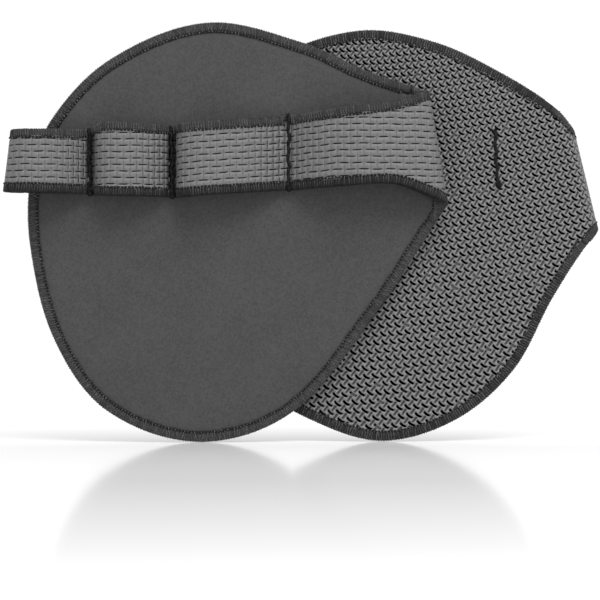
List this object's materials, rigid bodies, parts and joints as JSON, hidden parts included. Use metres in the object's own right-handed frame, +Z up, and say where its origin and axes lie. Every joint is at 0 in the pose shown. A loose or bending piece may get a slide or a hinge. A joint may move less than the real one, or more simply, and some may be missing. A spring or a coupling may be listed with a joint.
{
  "type": "hand grips",
  "caption": "Pair of padded neoprene hand grips: rounded palm pads with an embossed face, a smooth face and a folded, stitched finger strap.",
  "frame": {"origin": "under the middle of the pair, on the surface that both grips stand on", "axes": "+X along the finger straps towards the folds, -Y the way the front grip's strap faces, +Z up the pads towards the fingertips"},
  "size_m": [0.185, 0.035, 0.1302],
  "materials": {
    "embossed_rubber": "matt embossed skin of the bar side and of the strap",
    "neoprene_foam": "closed-cell foam core",
    "jersey": "fine knit lining of the palm side",
    "overlock_thread": "overlocked edge thread",
    "seam_thread": "black lockstitch thread"
  },
  "bodies": {
    "front_grip": {"front_finger_panel_rubber": "embossed_rubber", "front_finger_panel_foam": "neoprene_foam", "front_finger_panel_jersey": "jersey", "front_finger_panel_overlock": "overlock_thread", "front_strap_rubber": "embossed_rubber", "front_strap_foam": "neoprene_foam", "front_strap_jersey": "jersey", "front_strap_overlock": "overlock_thread", "front_seam_1": "seam_thread", "front_seam_2": "seam_thread", "front_seam_3": "seam_thread"},
    "front_palm_flap": {"front_palm_flap_rubber": "embossed_rubber", "front_palm_flap_foam": "neoprene_foam", "front_palm_flap_jersey": "jersey", "front_palm_flap_overlock": "overlock_thread"},
    "front_end_loop": {"front_end_loop_rubber": "embossed_rubber", "front_end_loop_foam": "neoprene_foam", "front_end_loop_jersey": "jersey", "front_end_loop_overlock": "overlock_thread"},
    "rear_grip": {"rear_finger_panel_rubber": "embossed_rubber", "rear_finger_panel_foam": "neoprene_foam", "rear_finger_panel_jersey": "jersey", "rear_finger_panel_overlock": "overlock_thread", "rear_strap_rubber": "embossed_rubber", "rear_strap_foam": "neoprene_foam", "rear_strap_jersey": "jersey", "rear_strap_overlock": "overlock_thread", "rear_seam_1": "seam_thread", "rear_seam_2": "seam_thread", "rear_seam_3": "seam_thread"},
    "rear_palm_flap": {"rear_palm_flap_rubber": "embossed_rubber", "rear_palm_flap_foam": "neoprene_foam", "rear_palm_flap_jersey": "jersey", "rear_palm_flap_overlock": "overlock_thread"},
    "rear_end_loop": {"rear_end_loop_rubber": "embossed_rubber", "rear_end_loop_foam": "neoprene_foam", "rear_end_loop_jersey": "jersey", "rear_end_loop_overlock": "overlock_thread"}
  },
  "joints": [
    {"name": "front_palm_bend", "type": "hinge", "parent": "front_grip", "child": "front_palm_flap", "pos_m": [0, -0.0042, 0.062], "axis": [-1, 0, 0], "range_deg": [0, 100], "stiffness_Nm_per_rad": 0.03},
    {"name": "front_end_loop_lift", "type": "hinge", "parent": "front_grip", "child": "front_end_loop", "pos_m": [-0.06625, -0.0061, 0.088], "axis": [0, 0, 1], "range_deg": [0, 40], "stiffness_Nm_per_rad": 0.004},
    {"name": "rear_grip_parts", "type": "slide", "parent": "front_grip", "child": "rear_grip", "axis": [0, 1, 0], "range_m": [0, 0.06]},
    {"name": "rear_palm_bend", "type": "hinge", "parent": "rear_grip", "child": "rear_palm_flap", "pos_m": [0.02644, 0.0042, 0.05197], "axis": [0.9976, 0, 0.0698], "range_deg": [0, 100], "stiffness_Nm_per_rad": 0.03},
    {"name": "rear_end_loop_lift", "type": "hinge", "parent": "rear_grip", "child": "rear_end_loop", "pos_m": [-0.00062, 0.0061, 0.08416], "axis": [0.0698, 0, -0.9976], "range_deg": [0, 40], "stiffness_Nm_per_rad": 0.004}
  ]
}
